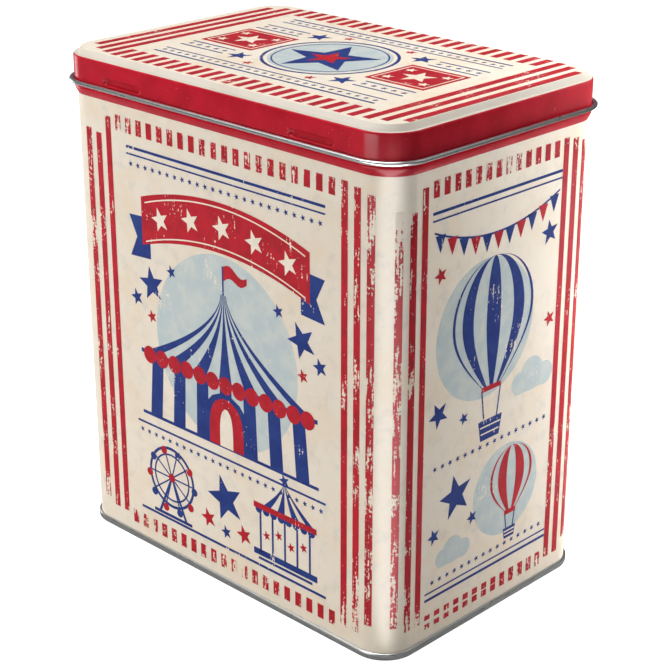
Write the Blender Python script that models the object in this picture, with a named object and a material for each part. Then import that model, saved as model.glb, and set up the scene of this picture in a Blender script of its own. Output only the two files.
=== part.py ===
"""A tall storage tin of printed tinplate, standing shut: body, lift-off lid and seamed-on base.

Metres, +Z up. The origin is the middle of the footprint, on the surface the tin stands on.
The long sides face -Y and +Y, and the short sides face -X and +X.
The tin is shut and can't be seen into, so body and lid are solid.
"""

import math

import bmesh
import bpy
from mathutils import Matrix, Vector

# Body, measured wall to wall
BODY_LENGTH = 0.160
BODY_DEPTH = 0.1058
CORNER_RADIUS = 0.012
CORNER_STEPS = 10

# Heights above the floor
SEAM_TOP = 0.0026
BAND_BOTTOM = 0.1713
BAND_CREST = 0.1740
CURL_BOTTOM = 0.1752
SKIRT_TOP = 0.1855
PANEL_TOP = 0.1875

# The red band swells out to the line of the lid, and turns in again under the lid's curl
BAND_SWELL = 0.0011
BAND_STEPS = 6

# Lid: a straight skirt that ends below in a curl, a narrow rim, and a raised panel
SKIRT_PROUD = 0.0011
SKIRT_EDGE_RADIUS = 0.0009
CURL_RADIUS = 0.0008
CURL_PROUD = 0.0019
CURL_GROOVE_DEPTH = 0.0011
CURL_STEPS = 9
CURL_END_ANGLE = 200
RIM_WIDTH = 0.0005
PANEL_SETBACK = 0.0034
PANEL_EDGE_RADIUS = 0.0008
PANEL_SLOPE_ANGLE = 40

# Grips pressed into both long sides of the skirt
GRIP_LENGTH = 0.020
GRIP_HEIGHT = 0.0030
GRIP_DEPTH = 0.0008
GRIP_SPACING = 0.0925
GRIP_LEVEL = 0.1786
GRIP_SIDES = 24
GRIP_RINGS = 11

# Base: a ring where base and wall are rolled together, round a panel set up inside it
SEAM_PROUD = 0.0010
SEAM_EDGE_RADIUS = 0.0006
SEAM_WIDTH = 0.0022
BASE_PANEL_RISE = 0.0018
BASE_PANEL_SLOPE_RUN = 0.0011

ARC_STEPS = 4
SMOOTH_ANGLE = 35
GAP = 0.0003

CREAM = (0.83, 0.76, 0.64)
RED = (0.45, 0.006, 0.018)
TIN = (0.52, 0.53, 0.53)


def outward(point):
    """The level direction that points straight out of the rounded outline at a point of it."""
    core_x = BODY_LENGTH / 2 - CORNER_RADIUS
    core_y = BODY_DEPTH / 2 - CORNER_RADIUS
    nearest = Vector((max(-core_x, min(core_x, point.x)), max(-core_y, min(core_y, point.y)), 0))
    return (Vector((point.x, point.y, 0)) - nearest).normalized()


def arc(centre, radius, start, end, steps):
    """Profile points on an arc, as (offset, height), with angles in degrees from straight out."""
    points = []
    for step in range(steps + 1):
        angle = math.radians(start + (end - start) * step / steps)
        points.append((centre[0] + radius * math.cos(angle), centre[1] + radius * math.sin(angle)))
    return points


def rounded_solid(name, profile):
    """A closed solid whose wall follows a profile of (offset, height) points round the outline."""
    bm = bmesh.new()
    size = Matrix.Diagonal((BODY_LENGTH, BODY_DEPTH, 1, 1))
    bmesh.ops.create_grid(bm, x_segments=1, y_segments=1, size=0.5, matrix=size)
    bmesh.ops.bevel(
        bm,
        geom=bm.verts[:],
        offset=CORNER_RADIUS,
        offset_type="OFFSET",
        segments=CORNER_STEPS,
        profile=0.5,
        affect="VERTICES",
    )
    ring = bm.verts[:]
    edges = bm.edges[:]
    previous = 0
    for level, (offset, height) in enumerate(profile):
        if level > 0:
            grown = bmesh.ops.extrude_edge_only(bm, edges=edges)["geom"]
            edges = [item for item in grown if isinstance(item, bmesh.types.BMEdge)]
            ring = [item for item in grown if isinstance(item, bmesh.types.BMVert)]
        for vertex in ring:
            vertex.co += outward(vertex.co) * (offset - previous)
            vertex.co.z = height
        previous = offset
    bmesh.ops.edgeloop_fill(bm, edges=edges)
    bmesh.ops.recalc_face_normals(bm, faces=bm.faces[:])
    mesh = bpy.data.meshes.new(name)
    bm.to_mesh(mesh)
    bm.free()
    mesh.shade_smooth()
    mesh.set_sharp_from_angle(angle=math.radians(SMOOTH_ANGLE))
    return bpy.data.objects.new(name, mesh)


def finish(thing, colour, roughness, metallic):
    """Gives an object its own plain material."""
    material = bpy.data.materials.new(thing.name)
    material.use_nodes = True
    shader = material.node_tree.nodes["Principled BSDF"]
    shader.inputs["Base Color"].default_value = (*colour, 1)
    shader.inputs["Roughness"].default_value = roughness
    shader.inputs["Metallic"].default_value = metallic
    thing.data.materials.append(material)


def tin_body(parts):
    """The wall, straight up from the base seam, with the swelling band below the lid."""
    top = CURL_BOTTOM - GAP
    profile = [(0, SEAM_TOP + GAP), (0, BAND_BOTTOM)]
    for step in range(1, BAND_STEPS):
        share = step / BAND_STEPS
        height = BAND_BOTTOM + (BAND_CREST - BAND_BOTTOM) * share
        profile.append((BAND_SWELL * math.sin(math.pi / 2 * share), height))
    turn = top - BAND_CREST
    profile += arc((BAND_SWELL - turn, BAND_CREST), turn, 0, 90, ARC_STEPS)
    body = rounded_solid("tin_body", profile)
    finish(body, CREAM, 0.35, 0.0)
    parts.objects.link(body)
    return body


def tin_lid(parts):
    """The lid: underside, curl, groove, skirt, rounded edge, rim, slope and raised panel."""
    curl_centre = (SKIRT_PROUD + CURL_PROUD - CURL_RADIUS, CURL_BOTTOM + CURL_RADIUS)
    groove_floor = CURL_BOTTOM + 2 * CURL_RADIUS - CURL_GROOVE_DEPTH
    profile = arc(curl_centre, CURL_RADIUS, -90, CURL_END_ANGLE, CURL_STEPS)
    profile.append((SKIRT_PROUD, groove_floor))
    edge_centre = (SKIRT_PROUD - SKIRT_EDGE_RADIUS, SKIRT_TOP - SKIRT_EDGE_RADIUS)
    profile += arc(edge_centre, SKIRT_EDGE_RADIUS, 0, 90, ARC_STEPS)
    profile.append((edge_centre[0] - RIM_WIDTH, SKIRT_TOP))
    panel_centre = (SKIRT_PROUD - PANEL_SETBACK, PANEL_TOP - PANEL_EDGE_RADIUS)
    profile += arc(panel_centre, PANEL_EDGE_RADIUS, PANEL_SLOPE_ANGLE, 90, ARC_STEPS)
    lid = rounded_solid("tin_lid", profile)
    finish(lid, RED, 0.3, 0.0)
    parts.objects.link(lid)
    return lid


def tin_base(parts):
    """The base: a panel held up inside the ring of the seam, which the tin stands on."""
    inside = SEAM_PROUD - SEAM_WIDTH
    foot = SEAM_PROUD - SEAM_EDGE_RADIUS
    profile = [
        (inside - BASE_PANEL_SLOPE_RUN, BASE_PANEL_RISE),
        (inside, 0),
    ]
    profile += arc((foot, SEAM_EDGE_RADIUS), SEAM_EDGE_RADIUS, -90, 0, ARC_STEPS)
    profile += arc((foot, SEAM_TOP - SEAM_EDGE_RADIUS), SEAM_EDGE_RADIUS, 0, 90, ARC_STEPS)
    base = rounded_solid("tin_base", profile)
    finish(base, TIN, 0.3, 1.0)
    parts.objects.link(base)
    return base


def grip_cutter(name, x, side):
    """A lozenge with round ends that presses one grip into the skirt of a long side."""
    half_height = GRIP_HEIGHT / 2
    radius = (half_height**2 + GRIP_DEPTH**2) / (2 * GRIP_DEPTH)
    half_run = GRIP_LENGTH / 2 - half_height
    bm = bmesh.new()
    poles_along_x = Matrix.Rotation(math.radians(90), 4, "Y")
    bmesh.ops.create_uvsphere(
        bm, u_segments=GRIP_SIDES, v_segments=GRIP_RINGS, radius=radius, matrix=poles_along_x
    )
    for vertex in bm.verts:
        vertex.co.x += math.copysign(half_run, vertex.co.x)
    mesh = bpy.data.meshes.new(name)
    bm.to_mesh(mesh)
    bm.free()
    cutter = bpy.data.objects.new(name, mesh)
    skirt_face = BODY_DEPTH / 2 + SKIRT_PROUD
    cutter.location = (x, side * (skirt_face + radius - GRIP_DEPTH), GRIP_LEVEL)
    cutter.hide_render = True
    cutter.display_type = "WIRE"
    return cutter


def press_grips(lid, cutters):
    """Cuts two grips into each long side of the lid."""
    for side, word in ((-1, "front"), (1, "back")):
        for end, place in ((-1, "left"), (1, "right")):
            cutter = grip_cutter(f"grip_{word}_{place}", end * GRIP_SPACING / 2, side)
            cutters.objects.link(cutter)
            cut = lid.modifiers.new(cutter.name, "BOOLEAN")
            cut.operation = "DIFFERENCE"
            cut.solver = "EXACT"
            cut.object = cutter


def main():
    for thing in list(bpy.data.objects):
        bpy.data.objects.remove(thing)
    parts = bpy.data.collections.new("storage_tin")
    cutters = bpy.data.collections.new("cutters")
    bpy.context.scene.collection.children.link(parts)
    bpy.context.scene.collection.children.link(cutters)
    tin_base(parts)
    tin_body(parts)
    lid = tin_lid(parts)
    press_grips(lid, cutters)


main()
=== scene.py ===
# %% [markdown]
# # A tall storage tin of printed tinplate
# The tin stands shut. It has a printed wall, a red lid that lifts off, and a bare metal base rolled on below.
# Its sizes come from a CAD model, which this script loads first and then dresses with finer pieces.
# One idea runs through the whole script: the metal parts all have the same rounded outline, seen from above,
# so each of them is one section drawn once and carried round that outline.

# %% Load the CAD model
import math

import bmesh
import bpy
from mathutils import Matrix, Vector


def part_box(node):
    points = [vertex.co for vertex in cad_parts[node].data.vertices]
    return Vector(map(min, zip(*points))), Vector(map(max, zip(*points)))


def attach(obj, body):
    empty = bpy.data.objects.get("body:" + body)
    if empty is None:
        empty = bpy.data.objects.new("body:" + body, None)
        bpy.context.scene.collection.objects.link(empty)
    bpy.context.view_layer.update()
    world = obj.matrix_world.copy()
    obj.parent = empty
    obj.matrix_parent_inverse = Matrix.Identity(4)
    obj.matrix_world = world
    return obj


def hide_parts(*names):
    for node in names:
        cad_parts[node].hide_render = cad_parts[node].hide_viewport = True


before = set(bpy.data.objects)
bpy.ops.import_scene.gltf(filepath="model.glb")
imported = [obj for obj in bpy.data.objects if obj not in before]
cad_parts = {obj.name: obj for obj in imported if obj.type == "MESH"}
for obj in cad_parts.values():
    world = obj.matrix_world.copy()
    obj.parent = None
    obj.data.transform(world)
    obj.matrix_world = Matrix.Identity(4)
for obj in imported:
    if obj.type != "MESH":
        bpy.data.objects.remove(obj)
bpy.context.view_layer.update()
print("CAD nodes:", sorted(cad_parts))

# %% [markdown]
# ## Measure before modelling
# Everything here is in metres, but a tin is thought of in millimetres, so one constant turns the second
# into the first. The rest is read from the CAD boxes, so the pieces still fit if the model is resized.

# %% Read the main sizes
MM = 0.001
TINY = 0.01 * MM
CORNER_RADIUS = 12 * MM
CORNER_STEPS = 20
SMOOTH_ANGLE = 35

SEAM_PROUD = 1 * MM
base_low, base_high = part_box("tin_base")
wall_low, wall_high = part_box("tin_body")
lid_low, lid_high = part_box("tin_lid")
half_length = base_high.x - SEAM_PROUD
half_depth = base_high.y - SEAM_PROUD
core_x = half_length - CORNER_RADIUS
core_y = half_depth - CORNER_RADIUS
print("wall", round(2 * half_length / MM, 1), "by", round(2 * half_depth / MM, 1), "mm")

# %% [markdown]
# ## Carry a section round the tin
# Sheet metal is rolled, pressed and seamed, so its section stays the same all the way round.
# A lathe would do this for a round tin. For a rounded box the same idea works in three moves:
# the section is spun by a quarter turn round the centre of one corner, its two ends are pulled straight
# to the middle of their sides, and the quarter is mirrored twice.

# %% Select things in code
def select_only(piece):
    """Selects one object alone and makes it active, because an operator acts on all that is selected."""
    bpy.ops.object.select_all(action="DESELECT")
    piece.select_set(True)
    bpy.context.view_layer.objects.active = piece


def pick(piece, test):
    """In edit mode, selects the vertices whose place passes a test, with the edges and faces between them."""
    bpy.ops.mesh.select_all(action="DESELECT")
    mesh = bmesh.from_edit_mesh(piece.data)
    for vertex in mesh.verts:
        if test(vertex.co):
            vertex.select_set(True)
    mesh.select_flush(True)
    bmesh.update_edit_mesh(piece.data)


# %% Draw a section
def arc(centre, radius, start, end, steps):
    """Section points on an arc, as (offset, height), with angles in degrees from straight out."""
    points = []
    for step in range(steps + 1):
        angle = math.radians(start + (end - start) * step / steps)
        points.append((centre[0] + radius * math.cos(angle), centre[1] + radius * math.sin(angle)))
    return points


def draw_section(name, section):
    """Draws a section as a chain of vertices, where the corner begins on the short side."""
    bpy.ops.object.select_all(action="DESELECT")
    bpy.ops.mesh.primitive_plane_add(size=MM)
    piece = bpy.context.object
    piece.name = name
    bpy.ops.object.mode_set(mode="EDIT")
    bpy.ops.mesh.merge(type="CENTER")
    here = Vector((0, 0, 0))
    for count, (offset, height) in enumerate(section):
        there = Vector((half_length + offset, core_y, height))
        if count == 0:
            bpy.ops.transform.translate(value=there - here)
        else:
            bpy.ops.mesh.extrude_region_move(TRANSFORM_OT_translate={"value": there - here})
        here = there
    return piece


# %% Carry the section round
def carry_round(name, section, stops=()):
    """A closed piece with one section all round. Stops are extra places along half of a long side."""
    piece = draw_section(name, section)
    bpy.ops.mesh.select_all(action="SELECT")
    quarter_turn = -math.radians(90)
    centre = (core_x, core_y, 0)
    bpy.ops.mesh.spin(steps=CORNER_STEPS, angle=quarter_turn, center=centre, axis=(0, 0, 1))
    pick(piece, lambda place: abs(place.y - core_y) < TINY and place.x > core_x + TINY)
    bpy.ops.mesh.extrude_region_move(TRANSFORM_OT_translate={"value": (0, -core_y, 0)})
    pick(piece, lambda place: abs(place.x - core_x) < TINY and place.y > core_y + TINY)
    here = core_x
    for stop in (*stops, 0):
        bpy.ops.mesh.extrude_region_move(TRANSFORM_OT_translate={"value": (stop - here, 0, 0)})
        here = stop
    bpy.ops.object.mode_set(mode="OBJECT")
    bpy.ops.object.modifier_add(type="MIRROR")
    mirror = piece.modifiers[-1]
    mirror.use_axis = (True, True, False)
    mirror.merge_threshold = TINY
    bpy.ops.object.modifier_apply(modifier=mirror.name)
    bpy.ops.object.mode_set(mode="EDIT")
    bpy.ops.mesh.select_all(action="SELECT")
    bpy.ops.mesh.fill_holes(sides=0)
    bpy.ops.mesh.normals_make_consistent(inside=False)
    bpy.ops.object.mode_set(mode="OBJECT")
    bpy.ops.object.shade_smooth_by_angle(angle=math.radians(SMOOTH_ANGLE))
    print(name, "has", len(piece.data.polygons), "faces")
    return piece


# %% [markdown]
# ## The wall
# The wall is one sheet wrapped round and seamed. Just under the lid it swells out into a bead,
# which the lid comes to rest on, and then turns in. The bead is part of the same sheet,
# so it belongs to the same section: a straight line, a quarter of a sine wave and a quarter circle.
# The foot of the wall goes a little way into the base, so that no gap shows there.

# %% Make the wall
WALL_INTO_SEAM = 0.4 * MM
BEAD_SWELL = 1.1 * MM
BEAD_STEPS = 10
BEAD_HEIGHT = 3.6 * MM
BEAD_TURN = 0.9 * MM
bead_bottom = wall_high.z - BEAD_HEIGHT
bead_crest = wall_high.z - BEAD_TURN

wall_section = [(0, base_high.z - WALL_INTO_SEAM), (0, bead_bottom)]
for step in range(1, BEAD_STEPS):
    share = step / BEAD_STEPS
    swell = BEAD_SWELL * math.sin(math.pi / 2 * share)
    wall_section.append((swell, bead_bottom + (bead_crest - bead_bottom) * share))
wall_section += arc((BEAD_SWELL - BEAD_TURN, bead_crest), BEAD_TURN, 0, 90, 8)
wall = carry_round("wall", wall_section)

# %% [markdown]
# ## The lid
# The lid is pressed from one sheet. Its raw edge is curled outwards into a roll, so that it cuts nobody,
# and the roll stands off the skirt with a narrow dark groove behind it. Above the skirt come a tight
# rounded edge, a narrow rim, a short slope and the raised panel. The skirt gets extra rows and columns
# of vertices where the grips will be pressed in, and long plain faces everywhere else.

# %% Lay out the rows and columns for the grips
GRIP_LENGTH = 20 * MM
GRIP_HEIGHT = 3 * MM
GRIP_DEPTH = 1.2 * MM
GRIP_SPACING = 92.5 * MM
GRIP_BELOW_TOP = 8.9 * MM
GRIP_MARGIN = 0.6 * MM
ROW_HEIGHT = 0.2 * MM
COLUMN_WIDTH = 0.5 * MM
grip_level = lid_high.z - GRIP_BELOW_TOP


def even_steps(start, end, size):
    """Places from start to end, both included, about size apart."""
    count = max(1, round(abs(end - start) / size))
    return [start + (end - start) * step / count for step in range(count + 1)]


grip_reach = GRIP_HEIGHT / 2 + GRIP_MARGIN
grip_rows = even_steps(grip_level - grip_reach, grip_level + grip_reach, ROW_HEIGHT)
grip_outer = GRIP_SPACING / 2 + GRIP_LENGTH / 2 + GRIP_MARGIN
grip_inner = GRIP_SPACING / 2 - GRIP_LENGTH / 2 - GRIP_MARGIN
grip_columns = even_steps(grip_outer, grip_inner, COLUMN_WIDTH)
print(len(grip_rows), "rows and", len(grip_columns), "columns for each grip")

# %% Make the lid
SKIRT_PROUD = 1.1 * MM
SKIRT_EDGE_RADIUS = 0.9 * MM
CURL_RADIUS = 0.8 * MM
CURL_PROUD = 1.9 * MM
CURL_GROOVE_DEPTH = 1.1 * MM
RIM_WIDTH = 0.5 * MM
PANEL_RISE = 2 * MM
PANEL_SETBACK = 3.4 * MM
PANEL_EDGE_RADIUS = 0.8 * MM
skirt_top = lid_high.z - PANEL_RISE
curl_centre = (SKIRT_PROUD + CURL_PROUD - CURL_RADIUS, lid_low.z + CURL_RADIUS)
groove_floor = lid_low.z + 2 * CURL_RADIUS - CURL_GROOVE_DEPTH

lid_section = arc(curl_centre, CURL_RADIUS, -90, 200, 18)
lid_section.append((SKIRT_PROUD, groove_floor))
lid_section += [(SKIRT_PROUD, height) for height in grip_rows]
edge_centre = (SKIRT_PROUD - SKIRT_EDGE_RADIUS, skirt_top - SKIRT_EDGE_RADIUS)
lid_section += arc(edge_centre, SKIRT_EDGE_RADIUS, 0, 90, 8)
lid_section.append((edge_centre[0] - RIM_WIDTH, skirt_top))
panel_edge = SKIRT_PROUD - PANEL_SETBACK
lid_section += arc((panel_edge, lid_high.z - PANEL_EDGE_RADIUS), PANEL_EDGE_RADIUS, 40, 90, 6)
lid = carry_round("lid", lid_section, stops=grip_columns)

# %% [markdown]
# ## Press the grips
# Two shallow grips are pressed into each long side of the skirt, where fingers lift the lid.
# A press tool stretches the sheet, so the dent has a flat floor and soft sides and no cut edge.
# A Boolean would leave that cut edge, so the vertices are moved in instead, by a smooth step
# from the grip's outline down to its floor.

# %% Move the skirt in at each grip
DENT_FLOOR = 0.45


def dent(reach):
    """The share of the full depth, from 1 on the grip's floor to 0 on its outline, where reach is 1."""
    share = max(0.0, min(1.0, (1 - reach) / (1 - DENT_FLOOR)))
    return share * share * (3 - 2 * share)


def press_grip(piece, x, side):
    """Presses one grip with round ends into the skirt of a long side."""
    skirt_face = half_depth + SKIRT_PROUD
    half_height = GRIP_HEIGHT / 2
    for vertex in piece.data.vertices:
        if abs(side * vertex.co.y - skirt_face) < TINY:
            along = max(0.0, abs(vertex.co.x - x) - (GRIP_LENGTH / 2 - half_height))
            reach = math.hypot(along, vertex.co.z - grip_level) / half_height
            vertex.co.y -= side * GRIP_DEPTH * dent(reach)


for side in (-1, 1):
    for end in (-1, 1):
        press_grip(lid, end * GRIP_SPACING / 2, side)
print("pressed grips", GRIP_SPACING / MM, "mm apart")

# %% [markdown]
# ## The base
# The base is rolled together with the foot of the wall into a ring, called a double seam.
# The ring stands a millimetre proud of the wall, has rounded edges, and carries the tin.
# The panel inside it is set up a little, so that only the ring touches the table.

# %% Make the base
SEAM_EDGE_RADIUS = 0.7 * MM
SEAM_WIDTH = 2.2 * MM
BASE_PANEL_LEVEL = 1.8 * MM
BASE_PANEL_SLOPE = 1.1 * MM
ring_inside = SEAM_PROUD - SEAM_WIDTH
ring_edge = SEAM_PROUD - SEAM_EDGE_RADIUS

base_section = [(ring_inside - BASE_PANEL_SLOPE, BASE_PANEL_LEVEL)]
base_section += arc((ring_inside + SEAM_EDGE_RADIUS, SEAM_EDGE_RADIUS), SEAM_EDGE_RADIUS, 200, 270, 5)
base_section += arc((ring_edge, SEAM_EDGE_RADIUS), SEAM_EDGE_RADIUS, -90, 0, 7)
base_section += arc((ring_edge, base_high.z - SEAM_EDGE_RADIUS), SEAM_EDGE_RADIUS, 0, 90, 7)
base_section.append((TINY, base_high.z))
base = carry_round("base", base_section)

# %% [markdown]
# ## Colours and nodes
# Paint and ink colours are known as sRGB hex values, while shaders work in linear light,
# so one function turns the first into the second.
# A second one adds any node with its settings and its links, which keeps each material short to read.

# %% Set up colours and nodes
CREAM = "#F3E7D5"
RED = "#C01226"
NAVY = "#17307A"
PALE_BLUE = "#BDC9CA"


def linear(hex_colour):
    """A linear colour with alpha, from an sRGB hex value."""
    colour = []
    for start in (1, 3, 5):
        share = int(hex_colour[start:start + 2], 16) / 255
        colour.append(share / 12.92 if share <= 0.04045 else ((share + 0.055) / 1.055) ** 2.4)
    return (*colour, 1)


def add_node(tree, kind, inputs=None, **settings):
    """Adds a node. Settings are its properties, and inputs give a value or another node's socket."""
    node = tree.nodes.new(kind)
    for name, value in settings.items():
        setattr(node, name, value)
    for socket, value in (inputs or {}).items():
        if isinstance(value, bpy.types.NodeSocket):
            tree.links.new(value, node.inputs[socket])
        else:
            node.inputs[socket].default_value = value
    return node


def new_material(name):
    """A material with nodes, and its tree and main shader."""
    material = bpy.data.materials.new(name)
    material.use_nodes = True
    tree = material.node_tree
    return material, tree, tree.nodes["Principled BSDF"]


def blotches(tree, size, detail=3.0, roughness=0.5, stretch=(1, 1, 1)):
    """Smooth noise whose patches are about size across, measured on the object itself."""
    place = add_node(tree, "ShaderNodeTexCoord").outputs["Object"]
    place = add_node(tree, "ShaderNodeMapping", {"Vector": place, "Scale": stretch}).outputs["Vector"]
    inputs = {"Vector": place, "Scale": 1 / size, "Detail": detail, "Roughness": roughness}
    return add_node(tree, "ShaderNodeTexNoise", inputs).outputs["Fac"]


def between(tree, value, low, high, start=0.0, end=1.0):
    """Turns values from low to high into a smooth step from start to end."""
    inputs = {"Value": value, "From Min": low, "From Max": high, "To Min": start, "To Max": end}
    return add_node(tree, "ShaderNodeMapRange", inputs, interpolation_type="SMOOTHSTEP").outputs["Result"]


def tinted(tree, amount, under, over):
    """Mixes two colours, where amount 0 is all the first and 1 all the second."""
    mix = add_node(tree, "ShaderNodeMix", data_type="RGBA")
    tree.links.new(amount, mix.inputs[0])
    for socket, colour in ((mix.inputs[6], under), (mix.inputs[7], over)):
        if isinstance(colour, bpy.types.NodeSocket):
            tree.links.new(colour, socket)
        else:
            socket.default_value = linear(colour)
    return mix.outputs[2]


# %% [markdown]
# ## Cream lacquer
# The wall and the lid's panel are tinplate with a baked cream lacquer, rolled on in a thin even coat.
# It is smooth and satin. The print on it imitates old paper: faint peach and grey clouds and a few specks,
# and it turns a little darker towards the bottom. The clouds are about 18 mm across, and the specks under 1
# mm.
# The lid's rim and slope lie outside that print, so they get a plainer, greyer cream of their own, which is
# also darker: painted shade for a slope that catches less light than the panel.

# %% Make the cream lacquer
CLOUD_SIZE = 18 * MM
SPECK_SIZE = 0.9 * MM
DARKENING_HEIGHT = 30 * MM
RIPPLE_SIZE = 6 * MM
RIPPLE_HEIGHT = 0.1 * MM
LACQUER_IOR = 1.5
CREAM_ROUGHNESS = 0.4
CREAM_SPECULAR = 0.5


def aged_cream(tree):
    """The colour of the cream lacquer, for the wall and for where the ink has worn off."""
    peach = between(tree, blotches(tree, CLOUD_SIZE, 5, 0.6), 0.42, 0.7, 0, 0.7)
    colour = tinted(tree, peach, CREAM, "#F0DCC0")
    grey = between(tree, blotches(tree, CLOUD_SIZE / 3, 6, 0.65), 0.48, 0.72, 0, 0.6)
    colour = tinted(tree, grey, colour, "#DDD5C8")
    specks = between(tree, blotches(tree, SPECK_SIZE, 2), 0.7, 0.76, 0, 0.3)
    colour = tinted(tree, specks, colour, "#B59B78")
    # Over the lowest 30 mm the cream turns slightly darker towards the bottom.
    place = add_node(tree, "ShaderNodeTexCoord").outputs["Object"]
    height = add_node(tree, "ShaderNodeSeparateXYZ", {"Vector": place}).outputs["Z"]
    darkening_low = between(tree, height, DARKENING_HEIGHT, 0, 0, 0.2)
    return tinted(tree, darkening_low, colour, "#DCCDB4")


cream_lacquer, tree, shader = new_material("baked_cream_lacquer_on_tinplate")
tree.links.new(aged_cream(tree), shader.inputs["Base Color"])
shader.inputs["Roughness"].default_value = CREAM_ROUGHNESS
shader.inputs["IOR"].default_value = LACQUER_IOR
shader.inputs["Specular IOR Level"].default_value = CREAM_SPECULAR
ripple = {"Height": blotches(tree, RIPPLE_SIZE), "Strength": 0.06, "Distance": RIPPLE_HEIGHT}
ripple = add_node(tree, "ShaderNodeBump", ripple).outputs["Normal"]
tree.links.new(ripple, shader.inputs["Normal"])
print("made", cream_lacquer.name)

rim_painted_shade_lacquer, tree, shader = new_material("grey_cream_lacquer_with_painted_shade")
# Both greys are darker than the cream: painted shade for the rim and slope.
cloudy = between(tree, blotches(tree, CLOUD_SIZE, 4), 0.35, 0.7)
tree.links.new(tinted(tree, cloudy, "#D6CDC0", "#CFC5B6"), shader.inputs["Base Color"])
shader.inputs["Roughness"].default_value = CREAM_ROUGHNESS
shader.inputs["IOR"].default_value = LACQUER_IOR
shader.inputs["Specular IOR Level"].default_value = CREAM_SPECULAR
print("made", rim_painted_shade_lacquer.name)

# %% [markdown]
# ## Red lacquer
# The lid's skirt and the bead below it are the same tinplate under a deep red lacquer.
# It is glossier than the cream, its colour shifts slightly where the coat is thicker, and it has
# a few tiny pale chips.

# %% Make the red lacquer
COAT_SIZE = 9 * MM
CHIP_SIZE = 0.8 * MM

red_lacquer, tree, shader = new_material("baked_red_lacquer_on_tinplate")
thick = between(tree, blotches(tree, COAT_SIZE, 4), 0.35, 0.7)
lacquer = tinted(tree, thick, "#C2142A", "#B20E24")
chips = between(tree, blotches(tree, CHIP_SIZE, 3), 0.71, 0.76, 0, 0.5)
tree.links.new(tinted(tree, chips, lacquer, "#E08A80"), shader.inputs["Base Color"])
shader.inputs["Roughness"].default_value = 0.24
shader.inputs["IOR"].default_value = LACQUER_IOR
shader.inputs["Specular IOR Level"].default_value = 0.3
print("made", red_lacquer.name)

# %% [markdown]
# ## Bare tinplate
# The curl and the base are left bare: steel sheet with a bright skin of tin, rolled in long fine lines.
# A metal's colour is its reflection, so it needs a grey tint, full metallic and a moderate roughness.

# %% Make the bare tinplate
ROLLED_LINE_WIDTH = 0.6 * MM

bare_tinplate, tree, shader = new_material("rolled_bright_tinplate")
rolled = blotches(tree, ROLLED_LINE_WIDTH, 3, 0.5, stretch=(0.08, 0.08, 1.5))
grey = tinted(tree, between(tree, rolled, 0.3, 0.7), "#D2D4D3", "#C6C9C9")
tree.links.new(grey, shader.inputs["Base Color"])
tree.links.new(between(tree, rolled, 0.3, 0.7, 0.27, 0.31), shader.inputs["Roughness"])
shader.inputs["Metallic"].default_value = 1
print("made", bare_tinplate.name)

# %% [markdown]
# ## Paint the metal
# One sheet often carries several lacquers, so a piece gets several materials and each face picks one
# by its place.

# %% Give the metal its finishes
def paint(piece, materials, choose):
    """Gives a piece its materials. Choose returns the number of the one for a face, from its centre."""
    for material in materials:
        piece.data.materials.append(material)
    for face in piece.data.polygons:
        face.material_index = choose(face.center)


def over_wall(place):
    """How far a point stands out from the wall's outline."""
    beyond = Vector((max(0.0, abs(place.x) - core_x), max(0.0, abs(place.y) - core_y)))
    if beyond.x == 0 or beyond.y == 0:
        return max(abs(place.x) - half_length, abs(place.y) - half_depth)
    return beyond.length - CORNER_RADIUS


PRINT_OVER_EDGE = 0.15 * MM
RED_ENDS_BELOW_RIM = 0.12 * MM


def lid_finish(place):
    """Red on the skirt, a darker grey cream with painted shade on the rim and slope, cream on the panel, and
    bare on the curl.
    """
    if place.z < lid_low.z + 2 * CURL_RADIUS + TINY and over_wall(place) > SKIRT_PROUD + TINY:
        return 2
    if place.z > lid_high.z - PRINT_OVER_EDGE:
        return 1
    return 3 if place.z > skirt_top - RED_ENDS_BELOW_RIM else 0


paint(wall, [cream_lacquer, red_lacquer], lambda place: int(place.z > bead_bottom))
paint(lid, [red_lacquer, cream_lacquer, bare_tinplate, rim_painted_shade_lacquer], lid_finish)
paint(base, [bare_tinplate], lambda place: 0)
for piece, node, slot in (
    (wall, "tin_body", "printed_tinplate"),
    (lid, "tin_lid", "red_lacquer"),
    (base, "tin_base", "bare_tinplate"),
):
    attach(piece, "root")
    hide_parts(node)

# %% [markdown]
# ## The print, drawn flat
# A tin is printed as a flat sheet before it is bent, and the print is made here in the same order.
# Shapes are drawn on a flat sheet in millimetres, like a designer's artwork, joined by ink,
# and then laid on the metal as very thin solid layers. Shapes made this way keep sharp edges at any distance.
# A few tools are enough for every motif: a block, a disc, a ring, a star, and a grid bent by a formula.
# Two faces in exactly the same place shade black, so shapes that follow each other differ in level
# by a hair. Most stars lean a little to the left, as the hand-set ones on old bills do.

# %% Tools for drawing on the sheet
LEVEL_STEP = 0.002
LEVELS = 9
STAR_POINTS = 5
STAR_WAIST = 0.42
STAR_LEAN = 18
sheet = []


def inked(shape, ink):
    """Puts a shape on the sheet in hand in one of the inks, a hair off the level of the one before it."""
    shape["ink"] = ink
    shape.location.z = LEVEL_STEP * (len(sheet) % LEVELS)
    sheet.append(shape)
    return shape


def block(ink, u, v, width, height, turn=0.0, columns=1, rows=1):
    """A rectangle, cut into columns and rows where it has to bend."""
    bpy.ops.mesh.primitive_grid_add(x_subdivisions=columns, y_subdivisions=rows, size=1)
    shape = bpy.context.object
    shape.scale = (width, height, 1)
    shape.rotation_euler.z = math.radians(turn)
    shape.location = (u, v, 0)
    return inked(shape, ink)


def disc(ink, u, v, radius, sides=40):
    """A filled circle, or a polygon with few sides."""
    bpy.ops.mesh.primitive_circle_add(vertices=sides, radius=radius, fill_type="NGON", location=(u, v, 0))
    return inked(bpy.context.object, ink)


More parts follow.
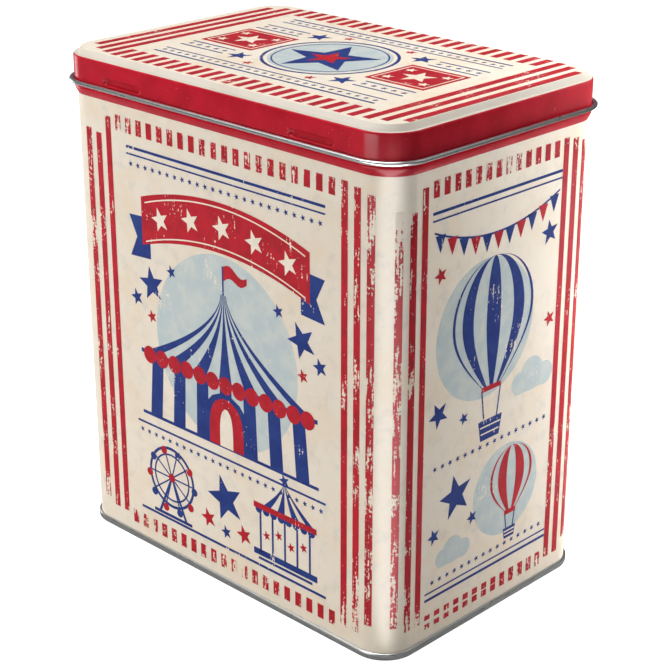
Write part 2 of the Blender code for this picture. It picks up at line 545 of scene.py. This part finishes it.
def ring(ink, u, v, radius, width, sides=48):
    """A flat ring, from a circle whose edge is extruded and drawn in."""
    bpy.ops.mesh.primitive_circle_add(vertices=sides, radius=radius, fill_type="NOTHING")
    shape = bpy.context.object
    bpy.ops.object.mode_set(mode="EDIT")
    bpy.ops.mesh.extrude_region_move()
    inner = (radius - width) / radius
    bpy.ops.transform.resize(value=(inner, inner, 1))
    bpy.ops.mesh.select_all(action="SELECT")
    bpy.ops.mesh.normals_make_consistent(inside=False)
    bpy.ops.object.mode_set(mode="OBJECT")
    if shape.data.polygons[0].normal.z < 0:
        shape.data.flip_normals()
    shape.location = (u, v, 0)
    return inked(shape, ink)


def stamp(shape, u, v, size=1.0):
    """A copy of a shape with a mesh of its own, in the same ink and with the same turn."""
    copy = shape.copy()
    copy.data = shape.data.copy()
    bpy.context.collection.objects.link(copy)
    copy.location = (u, v, 0)
    copy.scale = shape.scale * size
    return inked(copy, shape["ink"])


def star(ink, u, v, radius, turn=STAR_LEAN):
    """A star: a disc with twice as many corners as the star has points, every second one drawn in."""
    shape = disc(ink, u, v, radius, 2 * STAR_POINTS)
    for vertex in shape.data.vertices:
        if vertex.index % 2:
            vertex.co *= STAR_WAIST
    shape.rotation_euler.z = math.radians(turn)
    return shape


def bent(ink, columns, rows, bend, keep=lambda column: True):
    """A grid whose every corner goes where bend(across, up) says, with both from 0 to 1."""
    bpy.ops.mesh.primitive_grid_add(x_subdivisions=columns, y_subdivisions=rows, size=1)
    shape = bpy.context.object
    bpy.ops.object.mode_set(mode="EDIT")
    bpy.ops.mesh.select_all(action="DESELECT")
    mesh = bmesh.from_edit_mesh(shape.data)
    for face in mesh.faces:
        face.select_set(not keep(int((face.calc_center_median().x + 0.5) * columns)))
    bmesh.update_edit_mesh(shape.data)
    bpy.ops.mesh.delete(type="FACE")
    bpy.ops.object.mode_set(mode="OBJECT")
    for vertex in shape.data.vertices:
        u, v = bend(vertex.co.x + 0.5, vertex.co.y + 0.5)
        vertex.co = (u, v, 0)
    return inked(shape, ink)


# %% [markdown]
# ## The striped border
# Each side of the tin has a frame of upright bars: three long stripes at each end,
# and between them a row of short dashes at the top and at the bottom, all at one even pitch.
# The stripes next to a corner bend with the metal, so they are cut into columns.

# %% Draw the border
ROW_TOP = 167.4
ROW_TOP_HEIGHT = 5.7
ROW_FOOT = 6.3
ROW_FOOT_HEIGHT = 5.4
STRIPES_EACH_END = 3
SPLIT_GAP = 1.6
STRIPE_TOPS = (160.0, 159.0, 166.0, 167.5, 166.5, 165.0)
STRIPE_FEET = (12.0, 9.5, 9.5, 8.0, 8.0, 12.5)


def border(bars, pitch, width, shift, split=0):
    """Long stripes at both ends, and dashes between them at the top and at the bottom, some of them split."""
    first = shift - pitch * (bars - 1) / 2
    stripes = 0
    for bar in range(bars):
        u = first + bar * pitch
        if min(bar, bars - 1 - bar) < STRIPES_EACH_END:
            foot, top = STRIPE_FEET[stripes], STRIPE_TOPS[stripes]
            block("red", u, (foot + top) / 2, width, top - foot, columns=4, rows=30)
            stripes += 1
        else:
            block("red", u, ROW_TOP - ROW_TOP_HEIGHT / 2, width, ROW_TOP_HEIGHT, columns=2, rows=2)
            place = bar - STRIPES_EACH_END
            gap = SPLIT_GAP * (1 - place / split) if place < split else 0
            half = (ROW_FOOT_HEIGHT - gap) / 2
            for level in (ROW_FOOT + half / 2, ROW_FOOT + ROW_FOOT_HEIGHT - half / 2):
                block("red", u, level, width, half, columns=2)


# %% [markdown]
# ## Rules, rows of stars and bunting
# Old fairground bills fill every gap with rules and stars. One star of a row is drawn, and its copies
# are stamped along a line.

# %% Draw rows
def rule(u, v, width, height=1.0):
    """A level line of navy ink."""
    return block("navy", u, v, width, height)


def star_row(ink, u, v, width, radius=1.15, pitch=3.9):
    """Small stars in a row about a middle point."""
    count = int(width / pitch) + 1
    first = star(ink, u - pitch * (count - 1) / 2, v, radius)
    for place in range(1, count):
        stamp(first, u + pitch * (place - (count - 1) / 2), v)


def bunting(u, v, width, sag, flags, size):
    """A hanging cord with flags in two inks."""
    def cord_height(share):
        return v - sag * (1 - (2 * share - 1) ** 2)

    def cord(across, up):
        return u + width * (across - 0.5), cord_height(across) + 0.7 * (up - 0.5)

    bent("navy", 24, 1, cord)
    for flag in range(flags):
        share = (flag + 0.5) / flags
        left = u + width * (share - 0.5) - 0.42 * width / flags
        reach = 0.84 * width / flags
        top = cord_height(share)

        def pennant(across, up):
            narrow = 0.5 + (across - 0.5) * up
            return left + reach * narrow, top - size * (1 - up)

        bent("red" if flag % 2 else "navy", 2, 2, pennant)


# %% [markdown]
# ## The ribbon
# A banner with swallow tails is a common ornament on such prints. Here it stays blank,
# apart from two fine lines and a row of stars left in the colour of the tin.

# %% Draw the ribbon
RIBBON_LINE_INSET = 1.8
RIBBON_LINE_WIDTH = 0.5


def ribbon(u, v, width, height, arch, tail):
    """A blank red ribbon on an arch, with notched tails that hang lower behind its ends."""
    def lift(across):
        return v + arch * (1 - (2 * across - 1) ** 2)

    def band(across, up):
        return u + width * (across - 0.5), lift(across) + height * (up - 0.5)

    bent("red", 24, 1, band)
    for edge in (-1, 1):
        def line(across, up):
            level = edge * (height / 2 - RIBBON_LINE_INSET) + RIBBON_LINE_WIDTH * (up - 0.5)
            return u + (width - 4) * (across - 0.5), lift(across) + level

        bent("cream", 24, 1, line)

    for end in (-1, 1):
        def tail_end(across, up):
            notch = 0.35 * tail * (1 - abs(2 * up - 1))
            far = u + end * (width / 2 + (tail - notch) * across - 0.05 * width)
            return far, v - 0.32 * height + height * 0.86 * (up - 0.5) - 0.8 * across

        shape = bent("navy", 4, 8, tail_end)
        if end < 0:
            shape.data.flip_normals()


def ribbon_stars(u, v, width, arch, count, radius):
    """Stars in the colour of the tin along an arched ribbon."""
    for place in range(count):
        across = (place + 0.5) / count
        spot = (u + width * (across - 0.5), v + arch * (1 - (2 * across - 1) ** 2))
        if place == 0:
            first = star("cream", *spot, radius)
        else:
            stamp(first, *spot)


# %% [markdown]
# ## The big top
# The main motif is a striped show tent. Its roof is a grid whose width follows a hollow curve from eaves
# to peak, with every second column removed, so that the stripes narrow towards the top as sewn cloth does.

# %% Draw the tent
def tent(u, foot, width, wall_height, roof_height, stripes):
    """A striped tent: walls, a hollow curved roof, a scalloped edge, a doorway and a flag."""
    eaves = foot + wall_height

    def every_second(columns):
        return lambda column: (column * stripes // columns) % 2 == 0

    def walls(across, up):
        spread = width * (0.94 - 0.05 * up)
        return u + spread * (across - 0.5), foot + wall_height * up

    def roof(across, up):
        spread = width * (1 - up) ** 1.7 + 0.03 * width
        return u + spread * (across - 0.5), eaves + roof_height * up

    bent("navy", stripes, 1, walls, every_second(stripes))
    bent("navy", stripes, 14, roof, every_second(stripes))
    scallop = width / stripes
    first = disc("red", u - width / 2 + scallop / 2, eaves, scallop / 2, 20)
    for place in range(1, stripes):
        stamp(first, u - width / 2 + scallop * (place + 0.5), eaves)
    block("navy", u, eaves + 0.9, width * 1.03, 1.4)
    block("navy", u, foot, width * 1.04, 1.2)

    def arch(width_share, height_share):
        def doorway(across, up):
            spread = scallop * width_share * math.sqrt(1 - 0.96 * up**4)
            return u + spread * (across - 0.5), foot + wall_height * height_share * up
        return doorway

    bent("navy", 4, 10, arch(3.4, 0.86))
    bent("red", 4, 10, arch(2.6, 0.78))
    bent("cream", 4, 10, arch(1.0, 0.62))
    peak = eaves + roof_height
    mast = width * 0.12
    block("navy", u, peak + mast / 2, 0.8, mast)

    def flag(across, up):
        wave = 0.12 * mast * math.sin(2 * math.pi * across)
        level = 0.75 + 0.5 * (up - 0.5) * (1 - 0.55 * across)
        return u + 0.4 + mast * 1.1 * across, peak + mast * level + wave

    bent("red", 8, 2, flag)


# %% [markdown]
# ## The big wheel
# A fairground wheel is two rings, some spokes, small cabins and a pair of legs.

# %% Draw the wheel
def big_wheel(u, v, radius, cabins):
    """A fairground wheel with cabins that hang straight down, on two legs."""
    ring("navy", u, v, radius, 1.1)
    ring("navy", u, v, radius * 0.78, 0.7)
    disc("red", u, v, radius * 0.14, 20)
    for cabin in range(cabins):
        angle = 2 * math.pi * cabin / cabins
        middle = radius * 0.55
        spoke = block("navy", u + middle * math.cos(angle), v + middle * math.sin(angle), radius * 0.86, 0.6)
        spoke.rotation_euler.z = angle
        x = u + radius * math.cos(angle)
        y = v + radius * math.sin(angle) - radius * 0.12
        ink = "red" if cabin % 2 else "navy"
        disc(ink, x, y, radius * 0.13, 12)
    for side in (-1, 1):
        leg = math.degrees(math.atan2(radius * 1.3, side * radius * 0.6))
        block("navy", u + side * radius * 0.3, v - radius * 0.65, radius * 1.42, 1.1, turn=-leg)
    block("navy", u, v - radius * 1.3, radius * 1.7, 1.2)


# %% [markdown]
# ## The roundabout
# A small roundabout stands on the other side: a striped canopy on poles over a round deck.

# %% Draw the roundabout
def roundabout(u, foot, width):
    """A striped canopy on poles over a deck, with a star on top."""
    poles = 5
    height = width * 0.62
    canopy_stripes = 8

    def canopy(across, up):
        spread = width * (1 - up) ** 1.3 + 0.03 * width
        return u + spread * (across - 0.5), foot + height + width * 0.42 * up

    bent("navy", canopy_stripes, 8, canopy, lambda column: column % 2 == 1)
    block("red", u, foot + height, width * 1.04, 2.2)
    scallop = width / canopy_stripes
    first = disc("navy", u - width / 2 + scallop / 2, foot + height - 1.3, scallop / 2.2, 16)
    for place in range(1, canopy_stripes):
        stamp(first, u - width / 2 + scallop * (place + 0.5), foot + height - 1.3)
    for pole in range(poles):
        spot = u + width * 0.82 * (pole / (poles - 1) - 0.5)
        block("navy", spot, foot + height / 2, 0.9, height)
    for seat in range(poles - 1):
        spot = u + width * 0.82 * ((seat + 0.5) / (poles - 1) - 0.5)
        star("red", spot, foot + height * (0.42 + 0.12 * (seat % 2)), width * 0.065)
    block("navy", u, foot, width * 1.06, 2.4)
    block("navy", u, foot - 2.4, width * 0.9, 1.0)
    star("navy", u, foot + height + width * 0.47, width * 0.09)


# %% [markdown]
# ## The balloon
# The short sides carry a striped hot-air balloon. Its outline is a circle that runs out to a narrow mouth,
# and the same bent grid draws its gores.

# %% Draw the balloon
WIDEST = 0.45
MOUTH = 0.2


def balloon(ink, u, v, radius, gores):
    """A striped balloon with a basket on two ropes."""
    def outline(up):
        """Half the width and the height, from the mouth at 0 over the widest place to the crown at 1."""
        if up > WIDEST:
            angle = math.pi / 2 * (up - WIDEST) / (1 - WIDEST)
            return radius * math.cos(angle), v + radius * math.sin(angle)
        fall = 1 - up / WIDEST
        return radius * (MOUTH + (1 - MOUTH) * math.cos(math.pi / 2 * fall)), v - 1.25 * radius * fall

    def gore(across, up):
        half_width, level = outline(up)
        return u + half_width * math.sin(math.pi * (across - 0.5)), level

    steps = 3
    bent(ink, gores * steps, 24, gore, lambda column: (column // steps) % 2 == 0)
    mouth = v - 1.25 * radius
    collar = MOUTH * radius
    block("red", u, mouth, 2 * collar + 1.6, 1.8)
    basket = radius * 0.3
    drop = radius * 0.55
    for end in (-1, 1):
        top, bottom = collar * 0.8, basket * 0.8
        lean = math.degrees(math.atan2(bottom - top, -drop)) * end
        block("navy", u + end * (top + bottom) / 2, mouth - drop / 2, 0.6, drop, turn=lean + 180)

    def wicker(across, up):
        spread = 2 * basket * (0.78 + 0.22 * up)
        return u + spread * (across - 0.5), mouth - drop - basket * 1.2 * (1 - up)

    bent("navy", 4, 3, wicker)
    block("cream", u, mouth - drop - basket * 0.4, basket * 1.7, 0.5)
    block("cream", u, mouth - drop - basket * 0.8, basket * 1.5, 0.5)


def cloud(u, v, size):
    """A flat-footed cloud of three overlapping discs."""
    for shift, lift, radius in ((-0.9, 0, 0.55), (0, 0.25, 0.85), (0.95, 0, 0.6)):
        disc("blue", u + shift * size, v + lift * size, radius * size, 28)
    block("blue", u, v - 0.3 * size, 2.4 * size, 0.5 * size)


# %% [markdown]
# ## Lay the ink on the metal
# Ink is a few hundredths of a millimetre thick. Each ink of a sheet becomes one piece:
# its shapes are joined, every corner is carried from the flat sheet to the metal, and Solidify gives it
# thickness. The back of each layer is sunk a little in the lacquer, so no gap opens where a stripe bends
# round a corner.
# A piece also stores how rubbed it is at each corner of its mesh, which the ink material reads later.

# %% Carry a sheet to the metal
INK_SUNK = 0.02 * MM
INK_PROUD = {"blue": 0.02 * MM, "navy": 0.045 * MM, "red": 0.07 * MM, "cream": 0.095 * MM}
UP = Vector((0, 0, 1))


def on_side(across, out, half_width, half_reach):
    """A rule for one side of the tin: from sheet millimetres and a height over the wall to a place on it."""
    def place(u, v, proud):
        distance = abs(u * MM)
        flat = half_width - CORNER_RADIUS
        run = math.copysign(min(distance, flat), u)
        turn = max(0.0, distance - flat) / CORNER_RADIUS
        reach = CORNER_RADIUS + proud
        bend = across * math.copysign(reach * math.sin(turn), u) + out * reach * math.cos(turn)
        return across * run + out * (half_reach - CORNER_RADIUS) + bend + UP * v * MM
    return place


def on_panel(u, v, proud):
    """The rule for the lid's panel."""
    return Vector((u * MM, v * MM, lid_high.z + proud))


EAST, NORTH = Vector((1, 0, 0)), Vector((0, 1, 0))
PLACES = {
    "front": on_side(EAST, -NORTH, half_length, half_depth),
    "back": on_side(-EAST, NORTH, half_length, half_depth),
    "right": on_side(NORTH, EAST, half_depth, half_length),
    "left": on_side(-NORTH, -EAST, half_depth, half_length),
    "lid": on_panel,
}


def join_ink(shapes):
    """Joins shapes in one ink into a flat mesh in millimetres."""
    select_only(shapes[0])
    for shape in shapes:
        shape.select_set(True)
    if len(shapes) > 1:
        bpy.ops.object.join()
    bpy.ops.object.transform_apply(location=True, rotation=True, scale=True)
    return bpy.context.object


def lay_ink(flat, ink, side, rubbed):
    """Lays one joined ink on a side of the tin as a thin closed layer."""
    piece = flat.copy()
    piece.data = flat.data.copy()
    piece.name = f"{ink}_ink_{side}"
    bpy.context.collection.objects.link(piece)
    rub = piece.data.attributes.new("rub", "FLOAT", "POINT")
    for vertex in piece.data.vertices:
        rub.data[vertex.index].value = rubbed(vertex.co.x, vertex.co.y)
        vertex.co = PLACES[side](vertex.co.x, vertex.co.y, vertex.co.z * MM - INK_SUNK)
    select_only(piece)
    bpy.ops.object.modifier_add(type="SOLIDIFY")
    solidify = piece.modifiers[-1]
    solidify.thickness = INK_SUNK + INK_PROUD[ink]
    solidify.offset = 1
    bpy.ops.object.modifier_apply(modifier=solidify.name)
    return piece


def print_sheet(sides, rubbed):
    """Prints the sheet in hand on some sides of the tin, and clears it. Returns the pieces and their inks."""
    made = []
    by_ink = {ink: [shape for shape in sheet if shape["ink"] == ink] for ink in INK_PROUD}
    sheet.clear()
    for ink, shapes in by_ink.items():
        if shapes:
            flat = join_ink(shapes)
            for side in sides:
                made.append((lay_ink(flat, ink, side, rubbed), ink))
            bpy.data.objects.remove(flat)
    print("printed", sides, "with", len(made), "pieces")
    return made


WEAR_EVERYWHERE = 0.12
WEAR_AT_SIDE = 0.62
WEAR_AT_END = 0.42
SIDE_WEAR_STARTS = 0.7
END_WEAR_REACH = 16


def rubbed_near(half_width, low, high, amount=1.0):
    """A rule for how rubbed the print is, from 0 to 1: most near the corners, the seam and the lid."""
    def rubbed(u, v):
        side = max(0.0, abs(u) / half_width - SIDE_WEAR_STARTS) / (1 - SIDE_WEAR_STARTS)
        end = max(0.0, 1 - min(v - low, high - v) / END_WEAR_REACH)
        return amount * min(1.0, WEAR_EVERYWHERE + WEAR_AT_SIDE * side + WEAR_AT_END * end)
    return rubbed


# %% [markdown]
# ## The long sides
# The sheet for the long sides, from the top down: rules and stars, the ribbon,
# the big top on a pale disc, and the wheel and the roundabout below it.

# %% Print the long sides
LONG_BARS = 26
LONG_PITCH = 5.52
LONG_WIDTH = 2.85
LONG_SHIFT = 2.0

border(LONG_BARS, LONG_PITCH, LONG_WIDTH, LONG_SHIFT)
middle = LONG_SHIFT + 0.5
rule(middle, 157, 98)
rule(middle, 154.5, 98, 0.6)
star_row("navy", middle, 151, 94)
ribbon(middle, 131, 84, 18, 7, 11)
ribbon_stars(middle, 131, 80, 7, 5, 4.6)
disc("blue", middle, 92, 36, 64)
tent(middle, 56, 88, 24, 34, 13)
for end in (-1, 1):
    star("navy", middle + end * 38, 108, 6.8, STAR_LEAN + end * 8)
    star("navy", middle + end * 27, 115.5, 2.6)
    star("navy", middle + end * 46.5, 101, 3.4)
    star("red", middle + end * 38.5, 95.5, 2.6)
rule(middle, 51.5, 98, 0.8)
star_row("navy", middle, 48.2, 94)
big_wheel(middle - 31, 33, 12.5, 10)
roundabout(middle + 29, 20.5, 30)
star("navy", middle - 1.5, 35, 9.5)
star("red", middle - 11, 24, 4)
star("navy", middle - 1.5, 21.6, 2.8)
star("red", middle + 8, 24, 4)
rule(middle, 15.2, 98)
printed = print_sheet(("front", "back"), rubbed_near(half_length / MM, ROW_FOOT, ROW_TOP))

# %% [markdown]
# ## The short sides
# The short sides have the same border at a slightly closer pitch, with two balloons between pale clouds.
# At one end of the foot row the dashes are split in two, and the split closes up along the row.

# %% Print the short sides
SHORT_BARS = 19
SHORT_PITCH = 5.08
SHORT_WIDTH = 2.7
SHORT_SHIFT = -2.0

border(SHORT_BARS, SHORT_PITCH, SHORT_WIDTH, SHORT_SHIFT, split=9)
middle = SHORT_SHIFT + 1
rule(middle, 156.5, 66)
rule(middle, 154, 66, 0.6)
bunting(middle, 150, 64, 7, 11, 6)
disc("blue", middle - 5, 110, 25, 52)
balloon("navy", middle - 1, 114, 21, 9)
star("navy", middle + 27.5, 136, 4.6, 8)
star("navy", middle - 28, 86, 5, 26)
star("red", middle + 29.5, 104, 3)
star("red", middle - 28.5, 135, 3)
star("navy", middle - 15, 80.5, 2.4)
cloud(middle + 21, 84, 7.5)
star_row("navy", middle, 66.5, 62)
disc("blue", middle + 9, 45.5, 17.5, 48)
balloon("red", middle + 12, 50, 11.5, 7)
star("navy", middle - 18, 52.5, 8.5, 10)
star("navy", middle - 29, 41, 3.2)
star("navy", middle - 9, 41, 2.8)
cloud(middle - 19, 31, 6)
star_row("navy", middle, 23.5, 62)
rule(middle, 20, 66, 0.6)
rule(middle, 17.5, 66)
printed += print_sheet(("right", "left"), rubbed_near(half_depth / MM, ROW_FOOT, ROW_TOP))

# %% [markdown]
# ## The lid's panel
# The panel has the same bars. Along the long edges they are dashes, and at the short ends they are stripes
# that grow shorter towards the panel's rounded corners. A star on a disc fills the middle, between two
# red blocks with stars.

# %% Print the lid
LID_BARS = 27
LID_PITCH = 5.72
LID_WIDTH = 3.1
LID_SHIFT = 2.0
LID_STRIPE_HALF = (43.0, 47.0, 49.0)
DASH_EDGE = 50.0
DASH_LENGTH = 10.2
BLOCK_FROM_MIDDLE = 40.5
LID_WEAR = 0.3

first = LID_SHIFT - LID_PITCH * (LID_BARS - 1) / 2
for bar in range(LID_BARS):
    u = first + bar * LID_PITCH
    from_end = min(bar, LID_BARS - 1 - bar)
    if from_end < STRIPES_EACH_END:
        block("red", u, 0, LID_WIDTH, 2 * LID_STRIPE_HALF[from_end], rows=16)
    else:
        for end in (-1, 1):
            block("red", u, end * (DASH_EDGE - DASH_LENGTH / 2), LID_WIDTH, DASH_LENGTH, rows=2)
middle = LID_SHIFT
for end in (-1, 1):
    rule(middle, end * 34.5, 106)
    star_row("navy", middle, end * 31.5, 102)
    rule(middle, end * 28.8, 106, 0.7)
    block_middle = middle + end * BLOCK_FROM_MIDDLE
    block("red", block_middle, 0, 26, 24)
    for edge in (-1, 1):
        block("cream", block_middle, edge * 10.2, 23, 0.6)
        block("cream", block_middle + end * edge * 11.4, 0, 0.6, 21)
    big_star = star("cream", block_middle, 0, 6.6)
    for lift in (5.6, -6.2):
        for across in (-8, 8):
            stamp(big_star, block_middle + end * across, lift, 0.36)
    for lift in (-1, 1):
        rule(middle + end * 42.5, lift * 15.5, 22, 0.8)
        star_row("navy", middle + end * 42.5, lift * 18.6, 20, 1.3, 4.4)
        rule(middle + end * 42.5, lift * 21.7, 22, 0.8)
        star("navy", middle + end * 25, lift * 20, 4.8, STAR_LEAN + end * lift * 10)
        star("red", middle + end * 15, lift * 25.2, 2.2)
disc("blue", middle, 0, 22, 56)
ring("navy", middle, 0, 24.5, 1.2)
ring("navy", middle, 0, 20.8, 0.6)
star("navy", middle, -0.8, 18.5)
star("red", middle, -0.8, 8.5)
printed += print_sheet(("lid",), rubbed_near(half_length / MM, -DASH_EDGE, DASH_EDGE, LID_WEAR))

# %% [markdown]
# ## Ink
# Printing ink is a thin satin film. Handling rubs it off in flakes, first near the corners and edges,
# and the cream lacquer shows there, with its own colour and sheen. The flakes come from three noises
# added up: fine grain of about 1 mm, patches of about 14 mm, and upright scratches. The stored rub value
# then decides how much of that breaks through.

# %% Make the inks
FLAKE_SIZE = 1.1 * MM
PATCH_SIZE = 14 * MM
SCRATCH_WIDTH = 0.8 * MM
TONE_SIZE = 5 * MM
WORN_FROM = 1.84
WORN_TO = 1.9
INK_ROUGHNESS = 0.34
INK_SPECULAR = 0.3


def worn_ink(name, hex_colour, shade, strength):
    """Ink with a slight change of shade, worn through to the cream lacquer."""
    material, tree, shader = new_material(name)
    grain = blotches(tree, FLAKE_SIZE, 6, 0.65)
    patch = blotches(tree, PATCH_SIZE, 3, 0.5)
    scratch = blotches(tree, SCRATCH_WIDTH, 3, 0.5, stretch=(1, 1, 0.1))
    rub = add_node(tree, "ShaderNodeAttribute", attribute_name="rub").outputs["Fac"]
    total = add_node(tree, "ShaderNodeMath", {0: grain, 1: patch}, operation="ADD").outputs[0]
    total = add_node(tree, "ShaderNodeMath", {0: scratch, 1: total}, operation="ADD").outputs[0]
    inputs = {0: rub, 1: strength, 2: total}
    total = add_node(tree, "ShaderNodeMath", inputs, operation="MULTIPLY_ADD").outputs[0]
    worn = between(tree, total, WORN_FROM, WORN_TO)
    tone = tinted(tree, between(tree, blotches(tree, TONE_SIZE, 5), 0.35, 0.7), hex_colour, shade)
    roughness = between(tree, worn, 0, 1, INK_ROUGHNESS, CREAM_ROUGHNESS)
    specular = between(tree, worn, 0, 1, INK_SPECULAR, CREAM_SPECULAR)
    tree.links.new(tinted(tree, worn, tone, aged_cream(tree)), shader.inputs["Base Color"])
    tree.links.new(roughness, shader.inputs["Roughness"])
    tree.links.new(specular, shader.inputs["Specular IOR Level"])
    shader.inputs["IOR"].default_value = LACQUER_IOR
    return material


inks = {
    "red": worn_ink("worn_red_printing_ink", RED, "#AC0C20", 0.5),
    "navy": worn_ink("worn_navy_printing_ink", NAVY, "#223C84", 0.25),
    "blue": worn_ink("faded_pale_blue_printing_ink", PALE_BLUE, "#CCD2CD", 0.35),
    "cream": cream_lacquer,
}
for piece, ink in printed:
    piece.data.materials.clear()
    piece.data.materials.append(inks[ink])
    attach(piece, "root")
print(len(printed), "ink pieces")

# %% [markdown]
# ## The table and the surroundings
# A product photograph of a tin is taken on a white sweep, with grey cards around it that keep its dark
# sides dark. A large floor and a plain world stand for the sweep. The camera sees both as white.
# They light the tin as a grey floor and a dim world would, and its glossy parts see a darker floor
# and a slightly brighter world. A Light Path node tells the three kinds of ray apart.

# %% Make the floor and the world
FLOOR_SIZE = 8.0
FLOOR_GLOW = 0.75
bpy.ops.object.select_all(action="DESELECT")
bpy.ops.mesh.primitive_plane_add(size=FLOOR_SIZE)
floor = bpy.context.object
floor.name = "floor"
white_board, tree, shader = new_material("matt_white_board")
shader.inputs["Base Color"].default_value = linear("#FAFAFA")
shader.inputs["Roughness"].default_value = 0.9
shader.inputs["Emission Color"].default_value = (1, 1, 1, 1)
shader.inputs["Emission Strength"].default_value = FLOOR_GLOW
grey_card = add_node(tree, "ShaderNodeBsdfDiffuse", {"Color": linear("#BCBCBC")})
dark_card = add_node(tree, "ShaderNodeBsdfDiffuse", {"Color": linear("#909090")})
path = add_node(tree, "ShaderNodeLightPath")
cards = {0: path.outputs["Is Glossy Ray"], 1: grey_card.outputs[0], 2: dark_card.outputs[0]}
unseen = add_node(tree, "ShaderNodeMixShader", cards).outputs[0]
boards = {0: path.outputs["Is Camera Ray"], 1: unseen, 2: shader.outputs[0]}
board = add_node(tree, "ShaderNodeMixShader", boards).outputs[0]
tree.links.new(board, tree.nodes["Material Output"].inputs["Surface"])
floor.data.materials.append(white_board)

WORLD_LIGHT = 0.08
WORLD_SHINE = 0.14
WORLD_SEEN = 1.0
world = bpy.data.worlds.new("white_tent")
bpy.context.scene.world = world
world.use_nodes = True
tree = world.node_tree
path = add_node(tree, "ShaderNodeLightPath")
shine = between(tree, path.outputs["Is Glossy Ray"], 0, 1, WORLD_LIGHT, WORLD_SHINE)
strength = between(tree, path.outputs["Is Camera Ray"], 0, 1, shine, WORLD_SEEN)
tree.nodes["Background"].inputs["Color"].default_value = (1, 1, 1, 1)
tree.links.new(strength, tree.nodes["Background"].inputs["Strength"])
bpy.context.scene.view_settings.view_transform = "Standard"
print("view transform", bpy.context.scene.view_settings.view_transform)

# %% [markdown]
# ## Lights
# A large soft light above does most of the work, for the lid and, by way of the floor, for the sides.
# A lamp does two things to lacquer. It lights the colour, and it shines in the mirror direction,
# where it lays a pale haze over a red. Lamps that stand in that direction would spoil the sides,
# so here most lamps do only one of the two. Those called light brighten the front, its left end,
# the near corner and the back, and two slim ones graze the far end of the right side, as a window would.
# Those called glow only shine: at the left end, in the curl, and down the near corner, from the floor.

# %% Place the lights
def soft_light(name, place, target, width, height, power, lights=True, shines=True):
    """A soft light in watts, unseen by the camera. It lights surfaces, shines in glossy ones, or both."""
    rotation = (Vector(target) - Vector(place)).to_track_quat("-Z", "Y").to_euler()
    bpy.ops.object.light_add(type="AREA", location=place, rotation=rotation)
    light = bpy.context.object
    light.name = name
    light.data.shape = "RECTANGLE"
    light.data.size = width
    light.data.size_y = height
    light.data.energy = power
    light.visible_camera = False
    light.visible_diffuse = lights
    light.visible_glossy = shines


tin_middle = Vector((0, 0, lid_high.z / 2))
corner_front = Vector((half_length + 0.18, -half_depth - 0.18, 0.002))
left_end = (-half_length, -half_depth, 0.1)
right_low = (half_length, half_depth, 0.05)
right_high = (half_length, half_depth, 0.15)
soft_light("front_light", (-0.05, -0.6, 0.08), (0, -half_depth, 0.06), 0.4, 0.16, 1.0)
soft_light("left_light", (-0.5, -0.2, 0.2), left_end, 0.2, 0.3, 1.75, shines=False)
soft_light("left_glow", (-0.5, -0.08, 0.08), left_end, 0.16, 0.3, 0.4, lights=False)
soft_light("corner_glow", corner_front, corner_front + UP, 0.36, 0.36, 2.7, lights=False)
soft_light("curl_glow", (-0.4, -0.42, 0.75), tin_middle, 0.4, 0.4, 1.2, lights=False)
soft_light("right_curl_glow", (0.42, 0.4, 0.75), tin_middle, 0.4, 0.4, 0.5, lights=False)
soft_light("near_light", (0.6, -0.62, 0.25), tin_middle, 0.3, 0.3, 0.6, shines=False)
soft_light("right_low_light", (0.113, 0.12, 0.07), right_low, 0.04, 0.13, 0.14, shines=False)
soft_light("right_light", (0.113, 0.12, 0.17), right_high, 0.04, 0.2, 0.25, shines=False)
soft_light("back_light", (-0.3, 0.7, 0.35), (0, half_depth, 0.09), 0.4, 0.4, 2.5, shines=False)
soft_light("top_light", (-0.1, -0.12, 1.1), tin_middle, 0.7, 0.7, 9.4)

# %% [markdown]
# ## The camera
# The camera stands off the near corner, a little to the right and above, with a long lens.
# It has no shift, so its uprights close in a little more towards the floor than a shift lens would draw them.

# %% Place the camera
CAMERA_PLACE = (415.3 * MM, -422.5 * MM, 326.9 * MM)
AZIMUTH = 44.294
ELEVATION = 22.289
LENS = 93.8

level = math.cos(math.radians(ELEVATION))
toward_camera = Vector((
    math.sin(math.radians(AZIMUTH)) * level,
    -math.cos(math.radians(AZIMUTH)) * level,
    math.sin(math.radians(ELEVATION)),
))
bpy.ops.object.camera_add(location=CAMERA_PLACE, rotation=toward_camera.to_track_quat("Z", "Y").to_euler())
camera = bpy.context.object
camera.name = "camera"
camera.data.lens = LENS
camera.data.sensor_width = 36
bpy.context.scene.camera = camera

# %% [markdown]
# ## Finish
# The dressed tin must stay the size of the CAD model.

# %% Finish
bpy.context.view_layer.update()
